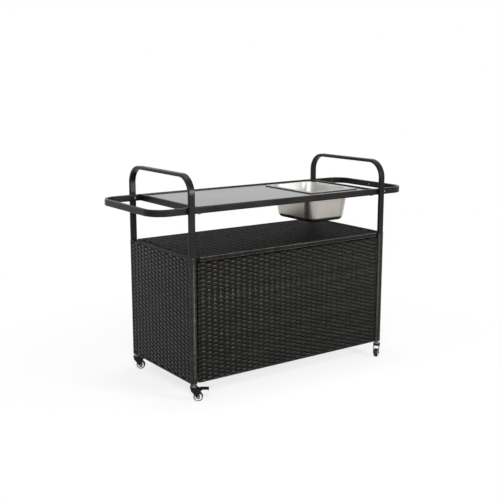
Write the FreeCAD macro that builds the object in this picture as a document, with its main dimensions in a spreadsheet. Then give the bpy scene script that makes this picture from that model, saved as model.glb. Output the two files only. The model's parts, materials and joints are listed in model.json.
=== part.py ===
import FreeCAD, Part
import math
import os

import Sketcher

# A rolling wicker bar cart: two bent end hoops carry a wicker cabinet below and a glass table above.
# Millimetres, +X along the cart, -Y the closed front, +Z up, origin on the floor under the centre.

os.makedirs("parts", exist_ok=True)
doc = FreeCAD.newDocument("BarCart")
sheet = doc.addObject("Spreadsheet::Sheet", "Sizes")

driving_sizes = {
    # End hoops and the flat tube that hoops, rails and handles are bent from
    "post_span_x": 1020.0,  # over the two hoops, along the cart
    "post_span_y": 492.0,  # over the two legs of a hoop
    "ground_clearance": 72.0,  # floor to the bottom of the cabinet
    "hoop_height": 127.0,  # top of the table rails to the top of a hoop
    "hoop_bend": 72.0,  # centre line radius of a hoop's two bends
    "tube_broad": 27.0,
    "tube_thin": 13.5,
    "tube_wall": 1.2,
    "tube_corner": 3.0,
    # Table
    "table_height": 196.0,  # top of the cabinet to the top of the table rails
    "table_end_gap": 12.0,  # inner face of a post to the end of the table frame
    "handle_overhang": 150.0,  # outer face of a post to the outer face of a push handle
    "handle_bend": 69.0,
    "sleeve_reach": 40.0,  # how far a joining sleeve goes into each tube
    "sleeve_clearance": 0.2,
    "glass_thickness": 5.0,
    "glass_recess": 4.5,  # top of the rails to the top of the glass
    "glass_gap": 1.0,
    "glass_corner": 4.0,
    "ledge_width": 14.0,
    "ledge_thickness": 3.0,
    # Lift-out pan
    "pan_end_margin": 37.5,  # inner face of the end rail to the rim of the pan
    "pan_rim_x": 270.0,
    "pan_rim_y": 330.0,
    "pan_rim_corner": 12.0,
    "pan_rim_thickness": 1.5,
    "pan_flange": 16.0,
    "pan_depth": 140.0,
    "pan_taper": 16.0,  # how far each side leans in over the depth
    "pan_wall": 1.0,
    "pan_basin_corner": 50.0,
    "pan_bottom_fillet": 22.0,
    "trim_thickness": 4.0,
    "trim_sink": 1.0,  # how deep the trim lies in the glass
    "trim_margin": 2.5,  # how far the trim shows around the rim
    "trim_lip": 2.0,
    "pan_clearance": 2.0,
    # Cabinet
    "cabinet_height": 510.0,
    "wrap_thickness": 1.5,  # wicker wound round a post
    "fit_clearance": 0.05,
    "weave_thickness": 6.5,  # woven face of a framed panel
    "weave_return": 3.0,  # wicker round the edge of a framed panel
    "panel_gap": 5.5,
    "panel_bar": 20.0,
    "panel_bar_wall": 1.2,
    "top_edge": 17.5,  # depth of the top and floor panels
    "side_weave": 6.0,
    "side_cap": 2.0,
    "floor_lift": 3.0,
    # Panel brackets and fasteners
    "bracket_thickness": 3.0,
    "bracket_width": 30.0,
    "bracket_inset_y": 150.0,  # top and floor brackets, from the middle of the cart
    "front_bracket_low": 112.0,  # above the bottom of the cabinet
    "front_bracket_high": 131.5,  # below the top of the front panel
    "angle_rise": 15.0,
    "bolt_radius": 2.5,
    "bolt_head_radius": 4.5,
    "bolt_head_height": 3.0,
    "bolt_length": 11.0,
    "bolt_clearance": 0.25,
    "table_bolt_radius": 3.0,
    "table_bolt_head_radius": 5.5,
    "table_bolt_head_height": 3.3,
    "screw_radius": 1.5,
    "screw_head_radius": 3.2,
    "screw_head_height": 1.6,
    "screw_length": 4.0,
    "screw_outboard": 13.0,  # outer face of a post to a handle screw
    # Rear doors
    "door_inset": 16.0,  # outer face of the rear posts to the face of the doors
    "door_hinge_gap": 7.0,
    "door_centre_gap": 4.0,
    "hinge_low": 90.0,  # above the bottom of the cabinet
    "hinge_high": 88.5,  # top of the upper hinge to the top of a door
    "hinge_height": 40.0,
    "hinge_pin_radius": 1.5,
    "hinge_knuckle_radius": 3.0,
    "hinge_leaf": 1.5,
    "hinge_leaf_width": 14.0,
    "hinge_end_gap": 0.4,
    "knob_radius": 11.0,
    "knob_stem_radius": 5.0,
    "knob_length": 16.0,
    "knob_head": 7.0,
    "knob_round": 2.0,
    "knob_inset": 40.0,  # free edge of a door to its knob
    "knob_drop": 150.0,  # top of a door to its knob
    "catch_width": 50.0,
    "catch_depth": 18.0,
    "catch_height": 18.0,
    "catch_flange": 2.0,
    "catch_gap": 0.6,
    # Casters
    "wheel_radius": 19.0,
    "wheel_width": 18.0,
    "tyre_depth": 4.5,
    "tyre_round": 3.0,
    "caster_trail": 17.0,
    "axle_radius": 2.5,
    "axle_head_radius": 4.0,
    "axle_head_height": 1.5,
    "running_clearance": 0.05,
    "side_clearance": 0.3,
    "hub_boss_radius": 6.0,
    "hub_rim_radius": 11.5,
    "hub_web": 8.0,
    "wheel_gap": 2.0,  # side of a tyre to a leg of the fork
    "fork_plate": 2.0,
    "fork_leg_radius": 7.0,
    "fork_front": 12.0,  # swivel axis to the leading edge of the legs
    "fork_shoulder": 10.0,  # height of the trailing edge of the legs
    "crown_radius": 16.0,
    "crown_height": 7.6,
    "neck_height": 6.0,  # bearing cap to the foot of a post's plug
    "cap_radius": 14.0,
    "cap_height": 3.0,
    "king_pin_radius": 3.0,
    "king_head_radius": 6.0,
    "king_head_height": 2.4,
    "swivel_gap": 0.4,
    "neck_radius": 5.5,
    "stem_height": 22.0,
    "plug_flange": 3.0,
    "left_heading": -35.0,  # trail direction of the left casters, degrees from +X
    "front_right_heading": -140.0,
    "back_right_heading": 90.0,
    # Brake pedals on the left casters
    "pedal_offset": 4.0,  # axle to the pedal's pin, along the trail
    "pedal_pin_gap": 1.6,  # top of the wheel to the pin
    "pedal_pin_radius": 2.0,
    "pedal_ear_radius": 4.5,
    "pedal_plate": 2.0,
    "pedal_rise": 11.9,  # pin to the top of the plate
    "pedal_heel": 3.0,  # pin to the inner end of the plate
    "pedal_strut": 14.0,  # pin to where the ears meet the plate
    "pedal_toe": 39.0,  # pin to the outer end of the plate
    "pedal_gap": 2.0,  # inner end of the plate to the trailing edge of the legs
    "pedal_hook": 4.0,
}
for row, (name, number) in enumerate(driving_sizes.items(), start=1):
    sheet.set(f"A{row}", name)
    sheet.set(f"B{row}", str(number))
    sheet.setAlias(f"B{row}", name)
doc.recompute()


class Size:
    """A length that carries its value and the sheet formula that gives it."""

    def __init__(self, formula, value):
        self.formula = formula
        self.value = value

    def joined(self, sign, other, value):
        return Size(f"({self.formula} {sign} {other.formula})", value)

    def __add__(self, other):
        other = as_size(other)
        return self.joined("+", other, self.value + other.value)

    def __radd__(self, other):
        return as_size(other) + self

    def __sub__(self, other):
        other = as_size(other)
        return self.joined("-", other, self.value - other.value)

    def __rsub__(self, other):
        return as_size(other) - self

    def __mul__(self, other):
        other = as_size(other)
        return self.joined("*", other, self.value * other.value)

    def __rmul__(self, other):
        return as_size(other) * self

    def __truediv__(self, other):
        other = as_size(other)
        return self.joined("/", other, self.value / other.value)

    def __neg__(self):
        return as_size(0) - self


def as_size(number):
    """Accept a plain number wherever a Size is expected."""
    if isinstance(number, Size):
        return number
    return Size(str(float(number)), float(number))


def cosine(angle):
    return Size(f"cos({angle.formula} * 1 deg)", math.cos(math.radians(angle.value)))


def sine(angle):
    return Size(f"sin({angle.formula} * 1 deg)", math.sin(math.radians(angle.value)))


class DrivingSizes:
    """Every cell of the sheet as a Size, by its name."""

    def __getattr__(self, name):
        return Size(f"Sizes.{name}", float(sheet.get(name)))


dim = DrivingSizes()
X_AXIS = FreeCAD.Vector(1, 0, 0)
Y_AXIS = FreeCAD.Vector(0, 1, 0)
Z_AXIS = FreeCAD.Vector(0, 0, 1)
POINTING = {
    "+x": FreeCAD.Rotation(Y_AXIS, 90),
    "-x": FreeCAD.Rotation(Y_AXIS, -90),
    "+y": FreeCAD.Rotation(X_AXIS, -90),
    "-y": FreeCAD.Rotation(X_AXIS, 90),
    "+z": FreeCAD.Rotation(),
    "-z": FreeCAD.Rotation(X_AXIS, 180),
}
OPPOSITE = {"+x": "-x", "-x": "+x", "+y": "-y", "-y": "+y", "+z": "-z", "-z": "+z"}
ENDS = (("left", -1), ("right", 1))
nodes = []


# Small modelling helpers

def bind(obj, path, size):
    """Tie one property of an object to the sheet."""
    obj.setExpression(path, as_size(size).formula)


def place(obj, x=0.0, y=0.0, z=0.0, turn=0.0):
    """Put an object at a point, turned about the vertical by a number of degrees."""
    turn = as_size(turn)
    obj.Placement = FreeCAD.Placement(FreeCAD.Vector(), FreeCAD.Rotation(Z_AXIS, turn.value))
    if turn.value:
        obj.setExpression("Placement.Rotation.Axis.z", "1")
        obj.setExpression("Placement.Rotation.Angle", f"{turn.formula} * 1 deg")
    for axis, size in zip("xyz", (x, y, z)):
        bind(obj, f"Placement.Base.{axis}", size)


def node(label, obj):
    """Register a finished piece under the name of its file."""
    obj.Label = label
    nodes.append(obj)
    return obj


def span(low, high):
    """A pair of limits in rising order, whichever side of the cart they are on."""
    low, high = as_size(low), as_size(high)
    return (low, high) if low.value <= high.value else (high, low)


def box(name, x, y, z):
    """A block between two limits along each axis."""
    block = doc.addObject("Part::Box", name)
    for side, axis, limits in zip(("Length", "Width", "Height"), "xyz", (x, y, z)):
        low, high = span(*limits)
        bind(block, side, high - low)
        bind(block, f"Placement.Base.{axis}", low)
    return block


def cylinder(name, start, pointing, length, radius):
    """A round bar from a point, along one axis."""
    bar = doc.addObject("Part::Cylinder", name)
    bar.Placement = FreeCAD.Placement(FreeCAD.Vector(), POINTING[pointing])
    for axis, size in zip("xyz", start):
        bind(bar, f"Placement.Base.{axis}", size)
    bind(bar, "Radius", radius)
    bind(bar, "Height", length)
    return bar


def fuse(name, base, tool):
    joined = doc.addObject("Part::Fuse", name)
    joined.Base = base
    joined.Tool = tool
    joined.Refine = True
    return joined


def group(name, members):
    together = doc.addObject("Part::Compound", name)
    together.Links = members
    return together


def cut(name, base, tools):
    """The base with every tool taken out of it."""
    remainder = doc.addObject("Part::Cut", name)
    remainder.Base = base
    remainder.Tool = tools[0] if len(tools) == 1 else group(f"{name}_tools", tools)
    return remainder


def sketch_on(body, plane, offset=0.0):
    """An empty sketch on one of a body's own base planes, moved along its normal."""
    sketch = body.newObject("Sketcher::SketchObject", f"{body.Name}_sketch")
    support = next(feature for feature in body.Origin.OriginFeatures if feature.Role == plane)
    sketch.AttachmentSupport = [(support, "")]
    sketch.MapMode = "FlatFace"
    bind(sketch, "AttachmentOffset.Base.z", offset)
    return sketch


def constrain(sketch, kind, *where):
    """Add a dimension to a sketch and tie it to the sheet; the last argument is its size."""
    size = as_size(where[-1])
    index = sketch.addConstraint(Sketcher.Constraint(kind, *where[:-1], size.value))
    bind(sketch, f"Constraints[{index}]", size)


def locate(sketch, geometry, point, x, y):
    """Hold one point of a sketch element at a place measured from the sketch's origin."""
    constrain(sketch, "DistanceX", -1, 1, geometry, point, x)
    constrain(sketch, "DistanceY", -1, 1, geometry, point, y)


def flat(x, y):
    return FreeCAD.Vector(as_size(x).value, as_size(y).value, 0)


def polygon(sketch, corners):
    """A closed outline of straight lines."""
    first = sketch.GeometryCount
    count = len(corners)
    for index in range(count):
        after = (index + 1) % count
        sketch.addGeometry(Part.LineSegment(flat(*corners[index]), flat(*corners[after])), False)
    for index in range(count):
        after = (index + 1) % count
        sketch.addConstraint(Sketcher.Constraint("Coincident", first + index, 2, first + after, 1))
    for index, corner in enumerate(corners):
        locate(sketch, first + index, 1, *corner)


def circle(sketch, x, y, radius):
    index = sketch.addGeometry(Part.Circle(flat(x, y), Z_AXIS, as_size(radius).value), False)
    locate(sketch, index, 3, x, y)
    constrain(sketch, "Radius", index, radius)


def arc(centre, radius, start_degrees):
    """A quarter circle, anticlockwise from its starting angle."""
    ring = Part.Circle(centre, Z_AXIS, radius.value)
    return Part.ArcOfCircle(ring, math.radians(start_degrees), math.radians(start_degrees + 90))


def rounded_rectangle(sketch, across, upward, radius):
    """A rectangle with four equal round corners, drawn anticlockwise from its lower side."""
    (west, east), (south, north) = span(*across), span(*upward)
    radius = as_size(radius)
    first = sketch.GeometryCount
    sides = (
        (west + radius, south, east - radius, south),
        (east, south + radius, east, north - radius),
        (east - radius, north, west + radius, north),
        (west, north - radius, west, south + radius),
    )
    centres = (
        (east - radius, south + radius),
        (east - radius, north - radius),
        (west + radius, north - radius),
        (west + radius, south + radius),
    )
    for index in range(4):
        x_start, y_start, x_end, y_end = sides[index]
        sketch.addGeometry(Part.LineSegment(flat(x_start, y_start), flat(x_end, y_end)), False)
        sketch.addGeometry(arc(flat(*centres[index]), radius, 90 * index - 90), False)
    for index in range(8):
        following = first + (index + 1) % 8
        sketch.addConstraint(Sketcher.Constraint("Tangent", first + index, 2, following, 1))
    for index in (0, 4):
        sketch.addConstraint(Sketcher.Constraint("Horizontal", first + index))
    for index in (2, 6):
        sketch.addConstraint(Sketcher.Constraint("Vertical", first + index))
    for index in (3, 5, 7):
        sketch.addConstraint(Sketcher.Constraint("Equal", first + 1, first + index))
    constrain(sketch, "Radius", first + 1, radius)
    constrain(sketch, "DistanceY", -1, 1, first, 1, south)
    constrain(sketch, "DistanceX", -1, 1, first + 2, 1, east)
    constrain(sketch, "DistanceY", -1, 1, first + 4, 1, north)
    constrain(sketch, "DistanceX", -1, 1, first + 6, 1, west)


def u_path(sketch, half_width, reach, radius):
    """An open U that starts and ends on the sketch's X axis and bends round at its reach."""
    centre_line = (
        Part.LineSegment(flat(-half_width, 0), flat(-half_width, reach - radius)),
        Part.ArcOfCircle(
            Part.Circle(flat(radius - half_width, reach - radius), Z_AXIS, radius.value), math.pi / 2, math.pi
        ),
        Part.LineSegment(flat(radius - half_width, reach), flat(half_width - radius, reach)),
        Part.ArcOfCircle(
            Part.Circle(flat(half_width - radius, reach - radius), Z_AXIS, radius.value), 0, math.pi / 2
        ),
        Part.LineSegment(flat(half_width, reach - radius), flat(half_width, 0)),
    )
    for element in centre_line:
        sketch.addGeometry(element, False)
    for before, before_end, after, after_end in ((0, 2, 1, 2), (1, 1, 2, 1), (2, 2, 3, 2), (3, 1, 4, 1)):
        sketch.addConstraint(Sketcher.Constraint("Tangent", before, before_end, after, after_end))
    for upright in (0, 4):
        sketch.addConstraint(Sketcher.Constraint("Vertical", upright))
    sketch.addConstraint(Sketcher.Constraint("Equal", 1, 3))
    locate(sketch, 0, 1, -half_width, 0)
    locate(sketch, 4, 2, half_width, 0)
    constrain(sketch, "DistanceY", -1, 1, 2, 1, reach)
    constrain(sketch, "Radius", 1, radius)


def pad(body, sketch, length, symmetric=False, reverse=False):
    feature = body.newObject("PartDesign::Pad", f"{body.Name}_pad")
    feature.Profile = sketch
    feature.SideType = "Symmetric" if symmetric else "One side"
    feature.Reversed = reverse
    bind(feature, "Length", length)
    return feature


def pocket_through(body, sketch):
    """Cut a sketch right through a body, both ways from the sketch."""
    feature = body.newObject("PartDesign::Pocket", f"{body.Name}_pocket")
    feature.Profile = sketch
    feature.SideType = "Symmetric"
    feature.Type = "ThroughAll"
    return feature


def revolve(body, sketch):
    """Turn a sketch once round its own vertical axis."""
    feature = body.newObject("PartDesign::Revolution", f"{body.Name}_turned")
    feature.Profile = sketch
    feature.ReferenceAxis = (sketch, ["V_Axis"])
    feature.Angle = 360
    return feature


def new_body(name):
    return doc.addObject("PartDesign::Body", name)


def turned(name, plane, outline):
    """A solid of revolution from a closed outline of radius and height pairs."""
    body = new_body(name)
    sketch = sketch_on(body, plane)
    polygon(sketch, outline)
    revolve(body, sketch)
    return body


def section_bar(name, plane, across, upward, corner, length, wall=None):
    """A straight bar with a rounded rectangular section, hollow where a wall is given."""
    body = new_body(name)
    sketch = sketch_on(body, plane)
    rounded_rectangle(sketch, across, upward, corner)
    if wall is not None:
        inside = [(span(*limits)[0] + wall, span(*limits)[1] - wall) for limits in (across, upward)]
        rounded_rectangle(sketch, inside[0], inside[1], corner - wall)
    pad(body, sketch, length, reverse=(plane == "XZ_Plane"))
    return body


def bent_tube(name, path_plane, section_plane, half_width, reach, bend, across, upward):
    """A hollow flat tube bent into a U."""
    body = new_body(name)
    section = sketch_on(body, section_plane)
    rounded_rectangle(section, across, upward, dim.tube_corner)
    inside = [(low + dim.tube_wall, high - dim.tube_wall) for low, high in (across, upward)]
    rounded_rectangle(section, inside[0], inside[1], dim.tube_corner - dim.tube_wall)
    path = sketch_on(body, path_plane)
    u_path(path, half_width, reach, bend)
    pipe = body.newObject("PartDesign::AdditivePipe", f"{name}_pipe")
    pipe.Profile = section
    pipe.Spine = path
    return body


def bolt(name, start, pointing, length, radius, head_radius, head_height):
    """A bolt from under its head, and the clearance hole that it passes through."""
    shank = cylinder(f"{name}_shank", start, pointing, length, radius)
    head = cylinder(f"{name}_head", start, OPPOSITE[pointing], head_height, head_radius)
    hole = cylinder(f"{name}_hole", start, pointing, length, radius + dim.bolt_clearance)
    return fuse(name, shank, head), hole


def panel_bolt(name, start, pointing):
    return bolt(
        name, start, pointing, dim.bolt_length, dim.bolt_radius, dim.bolt_head_radius, dim.bolt_head_height
    )


def centred(width):
    return (-width / 2, width / 2)


def inset(limits, margin):
    low, high = span(*limits)
    return (low + margin, high - margin)


def hollow_frame(name, x, y, z, depth_axis):
    """A welded rectangle of hollow bars; its depth runs along the named axis."""
    limits = [span(*pair) for pair in (x, y, z)]
    depth = "xyz".index(depth_axis)

    def shrunk(margin, depth_margin):
        return [inset(pair, depth_margin if axis == depth else margin) for axis, pair in enumerate(limits)]

    wall = dim.panel_bar_wall
    block = box(f"{name}_block", *limits)
    window = box(f"{name}_window", *shrunk(dim.panel_bar, 0))
    ring = cut(f"{name}_ring", block, [window])
    hollow = cut(
        f"{name}_hollow",
        box(f"{name}_hollow_block", *shrunk(wall, wall)),
        [box(f"{name}_hollow_window", *shrunk(dim.panel_bar - wall, wall))],
    )
    return cut(f"{name}_tubes", ring, [hollow])


def tray(name, x, y, z, open_side):
    """A woven face with wicker returns round its edges, open on the named side."""
    limits = [span(*pair) for pair in (x, y, z)]
    depth = "xyz".index(open_side[1])
    hollow = [inset(pair, dim.weave_return) for pair in limits]
    low, high = limits[depth]
    if open_side[0] == "-":
        hollow[depth] = (low, high - dim.weave_thickness)
    else:
        hollow[depth] = (low + dim.weave_thickness, high)
    return cut(f"{name}_tray", box(f"{name}_block", *limits), [box(f"{name}_inside", *hollow)])


# Places that several pieces share

half_x = dim.post_span_x / 2
half_y = dim.post_span_y / 2
post_inner_x = half_x - dim.tube_broad
post_inner_y = half_y - dim.tube_thin
post_x = half_x - dim.tube_broad / 2
post_y = half_y - dim.tube_thin / 2
wrap_inner_x = post_inner_x - dim.wrap_thickness
wrap_inner_y = post_inner_y - dim.wrap_thickness
wrap_outer_y = half_y + dim.wrap_thickness
cabinet_bottom = dim.ground_clearance
cabinet_top = cabinet_bottom + dim.cabinet_height
rail_top = cabinet_top + dim.table_height
hoop_top = rail_top + dim.hoop_height
rail_bottom = rail_top - dim.tube_broad
rail_z = rail_top - dim.tube_broad / 2
rail_y = post_inner_y - dim.tube_thin / 2
rail_inner_y = post_inner_y - dim.tube_thin
table_end = post_inner_x - dim.table_end_gap
table_inner_x = table_end - dim.tube_thin
pan_x = table_inner_x - dim.pan_end_margin - dim.pan_rim_x / 2
panel_end = wrap_inner_x - dim.panel_gap
side_face = half_x + dim.wrap_thickness / 2
side_rail_outer = side_face - dim.side_weave
side_rail_inner = side_rail_outer - dim.tube_thin
frame_end = panel_end - dim.weave_return
bolt_row_x = frame_end - dim.panel_bar / 2
glass_top_z = rail_top - dim.glass_recess
glass_bottom_z = glass_top_z - dim.glass_thickness
top_panel_bottom = cabinet_top - dim.top_edge
front_panel_top = top_panel_bottom - dim.panel_gap
floor_bottom = cabinet_bottom + dim.floor_lift
door_face = half_y - dim.door_inset
bar_depth = dim.tube_thin + 2 * dim.wrap_thickness - dim.weave_thickness
door_inner = door_face - dim.weave_thickness - bar_depth


# Fasteners of the cabinet panels, with the holes that they need

front_bracket_heights = (
    ("low", cabinet_bottom + dim.front_bracket_low),
    ("high", front_panel_top - dim.front_bracket_high),
)
front_bracket_back = -wrap_inner_y + dim.bracket_thickness
top_leg_bottom = top_panel_bottom - dim.bracket_thickness
angle_end = bolt_row_x - dim.panel_bar / 2
angle_levels = (("top", top_leg_bottom), ("floor", floor_bottom - dim.bracket_thickness))

panel_bolts = []
panel_brackets = []
front_frame_holes = []
level_frame_holes = {"top": [], "floor": []}
level_rail_holes = {(end, level): [] for end, side in ENDS for level, height in angle_levels}
post_holes = {end: [] for end, side in ENDS}

for end, side in ENDS:
    for level, height in front_bracket_heights:
        name = f"{end}_{level}_front"
        start_y = front_bracket_back
        into_frame, frame_hole = panel_bolt(f"{name}_frame_bolt", (side * bolt_row_x, start_y, height), "-y")
        into_post, post_hole = panel_bolt(f"{name}_post_bolt", (side * post_x, start_y, height), "-y")
        plate = box(
            f"{name}_plate",
            (side * angle_end, side * (side_rail_outer - dim.fit_clearance)),
            (-wrap_inner_y, front_bracket_back),
            (height - dim.bracket_width / 2, height + dim.bracket_width / 2),
        )
        panel_brackets.append(cut(f"{name}_bracket", plate, [frame_hole, post_hole]))
        panel_bolts += [into_frame, into_post]
        front_frame_holes.append(frame_hole)
        post_holes[end].append(post_hole)
    for level, leg_bottom in angle_levels:
        for edge, edge_side in (("front", -1), ("back", 1)):
            name = f"{end}_{level}_{edge}"
            y = edge_side * dim.bracket_inset_y
            width = (y - dim.bracket_width / 2, y + dim.bracket_width / 2)
            upright_x = side_rail_inner - dim.bracket_thickness
            leg_top = leg_bottom + dim.bracket_thickness
            rail_bolt_z = leg_top + dim.angle_rise / 2
            bolt_foot = (side * bolt_row_x, y, leg_bottom)
            into_panel, panel_hole = panel_bolt(f"{name}_panel_bolt", bolt_foot, "+z")
            into_rail, rail_hole = panel_bolt(
                f"{name}_rail_bolt", (side * upright_x, y, rail_bolt_z), "+x" if side > 0 else "-x"
            )
            leg = box(f"{name}_leg", (side * angle_end, side * side_rail_inner), width, (leg_bottom, leg_top))
            upright = box(
                f"{name}_upright",
                (side * upright_x, side * side_rail_inner),
                width,
                (leg_bottom, leg_top + dim.angle_rise),
            )
            angle = fuse(f"{name}_angle", leg, upright)
            panel_brackets.append(cut(f"{name}_bracket", angle, [panel_hole, rail_hole]))
            panel_bolts += [into_panel, into_rail]
            level_frame_holes[level].append(panel_hole)
            level_rail_holes[(end, level)].append(rail_hole)


# Fasteners of the table and the push handles

table_bolts = []
handle_screws = []
sleeve_bolt_x = table_end - dim.sleeve_reach / 2
handle_holes = {end: [] for end, side in ENDS}
rail_holes = {edge: [] for edge in ("front", "back")}
sleeve_holes = {}
handle_end = half_x + dim.handle_overhang

for end, side in ENDS:
    for edge, edge_side in (("front", -1), ("back", 1)):
        outward = "-y" if edge_side < 0 else "+y"
        post_bolt, post_hole = bolt(
            f"{end}_{edge}_post_bolt",
            (side * post_x, edge_side * rail_inner_y, rail_z),
            outward,
            dim.tube_thin + dim.tube_thin / 2,
            dim.table_bolt_radius,
            dim.table_bolt_head_radius,
            dim.table_bolt_head_height,
        )
        rail_bolt, rail_hole = bolt(
            f"{end}_{edge}_sleeve_bolt",
            (side * sleeve_bolt_x, edge_side * rail_y, rail_bottom),
            "+z",
            dim.tube_broad / 2,
            dim.table_bolt_radius,
            dim.table_bolt_head_radius,
            dim.table_bolt_head_height,
        )
        screw, screw_hole = bolt(
            f"{end}_{edge}_handle_screw",
            (side * (half_x + dim.screw_outboard), edge_side * post_inner_y, rail_z),
            OPPOSITE[outward],
            dim.screw_length,
            dim.screw_radius,
            dim.screw_head_radius,
            dim.screw_head_height,
        )
        table_bolts += [post_bolt, rail_bolt]
        handle_screws.append(screw)
        post_holes[end].append(post_hole)
        handle_holes[end] += [post_hole, screw_hole]
        rail_holes[edge].append(rail_hole)
        sleeve_holes[(end, edge)] = [post_hole, rail_hole]
    grip_screw, grip_hole = bolt(
        f"{end}_grip_screw",
        (side * (handle_end - dim.tube_thin), 0, rail_z),
        "+x" if side > 0 else "-x",
        dim.screw_length,
        dim.screw_radius,
        dim.screw_head_radius,
        dim.screw_head_height,
    )
    handle_screws.append(grip_screw)
    handle_holes[end].append(grip_hole)


# End hoops, their wicker wraps and the rails of the cabinet sides

wraps = []
side_rail_levels = (
    ("top", cabinet_top - dim.side_cap - dim.tube_broad),
    ("floor", cabinet_bottom + dim.side_cap),
)

for end, side in ENDS:
    hoop = bent_tube(
        f"{end}_hoop_tube",
        "YZ_Plane",
        "XY_Plane",
        post_y,
        hoop_top - cabinet_bottom - dim.tube_thin / 2,
        dim.hoop_bend,
        centred(dim.tube_broad),
        (-post_y - dim.tube_thin / 2, -post_y + dim.tube_thin / 2),
    )
    place(hoop, side * post_x, 0, cabinet_bottom)
    node(f"{end}_hoop", cut(f"{end}_hoop_drilled", hoop, post_holes[end]))

    rail_notches = []
    for level, low in side_rail_levels:
        rail = section_bar(
            f"{end}_{level}_side_rail_tube",
            "XZ_Plane",
            centred(dim.tube_thin),
            centred(dim.tube_broad),
            dim.tube_corner,
            2 * post_inner_y,
            dim.tube_wall,
        )
        place(rail, side * (side_rail_outer - dim.tube_thin / 2), -post_inner_y, low + dim.tube_broad / 2)
        drilled = cut(f"{end}_{level}_side_rail_drilled", rail, level_rail_holes[(end, level)])
        node(f"{end}_{level}_side_rail", drilled)
        rail_notches.append(
            box(
                f"{end}_{level}_notch",
                (side * (side_rail_outer + dim.fit_clearance), side * (side_rail_inner - dim.fit_clearance)),
                (-post_inner_y, post_inner_y),
                (low - dim.fit_clearance, low + dim.tube_broad + dim.fit_clearance),
            )
        )

    for edge, edge_side in (("front", -1), ("back", 1)):
        wrap = new_body(f"{end}_{edge}_wrap_sleeve")
        sketch = sketch_on(wrap, "XY_Plane")
        margin = dim.fit_clearance
        outer_margin = dim.wrap_thickness
        rounded_rectangle(
            sketch,
            centred(dim.tube_broad + 2 * outer_margin),
            centred(dim.tube_thin + 2 * outer_margin),
            dim.tube_corner + outer_margin,
        )
        rounded_rectangle(
            sketch,
            centred(dim.tube_broad + 2 * margin),
            centred(dim.tube_thin + 2 * margin),
            dim.tube_corner + margin,
        )
        pad(wrap, sketch, dim.cabinet_height)
        place(wrap, side * post_x, edge_side * post_y, cabinet_bottom)
        wraps.append(cut(f"{end}_{edge}_wrap", wrap, rail_notches + post_holes[end]))

    weave_end = wrap_inner_y - dim.fit_clearance
    face = box(
        f"{end}_side_face",
        (side * side_rail_outer, side * side_face),
        (-weave_end, weave_end),
        (cabinet_bottom, cabinet_top),
    )
    cap = box(
        f"{end}_side_top",
        (side * (side_rail_inner - dim.side_cap), side * side_face),
        (-weave_end, weave_end),
        (cabinet_top - dim.side_cap, cabinet_top),
    )
    node(f"{end}_side_wicker", fuse(f"{end}_side_weave", face, cap))

node("post_wraps", group("wrap_set", wraps))


# Framed wicker panels of the cabinet

front_face = -wrap_outer_y
front_x = (-panel_end, panel_end)
front_z = (cabinet_bottom, front_panel_top)
front_frame = hollow_frame(
    "front_panel",
    inset(front_x, dim.weave_return),
    (front_face + dim.weave_thickness, -wrap_inner_y),
    inset(front_z, dim.weave_return),
    "y",
)
node("front_panel_frame", cut("front_panel_drilled", front_frame, front_frame_holes))
node("front_panel_wicker", tray("front_wicker", front_x, (front_face, -wrap_inner_y), front_z, "+y"))

level_panels = (
    ("top", (-wrap_outer_y, half_y), cabinet_top),
    ("floor", (-wrap_inner_y + dim.panel_gap, door_inner - dim.panel_gap), floor_bottom + dim.top_edge),
)
for level, y, upper in level_panels:
    lower = upper - dim.top_edge
    frame = hollow_frame(
        f"{level}_panel",
        inset(front_x, dim.weave_return),
        inset(y, dim.weave_return),
        (lower, upper - dim.weave_thickness),
        "z",
    )
    node(f"{level}_panel_frame", cut(f"{level}_panel_drilled", frame, level_frame_holes[level]))
    node(f"{level}_panel_wicker", tray(f"{level}_wicker", front_x, y, (lower, upper), "-z"))

node("panel_brackets", group("bracket_set", panel_brackets))
node("panel_bolts", group("panel_bolt_set", panel_bolts))


# Rear doors on lift-off hinges

door_edge = wrap_inner_x - dim.door_hinge_gap
hinge_x = wrap_inner_x - dim.door_hinge_gap / 2
door_z = (floor_bottom, front_panel_top)
hinge_bottoms = (
    ("low", cabinet_bottom + dim.hinge_low),
    ("high", front_panel_top - dim.hinge_high - dim.hinge_height),
)
knuckle = dim.hinge_height / 2 - dim.hinge_end_gap / 2
knuckle_bore = dim.hinge_pin_radius + dim.running_clearance
post_leaves = []

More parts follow.
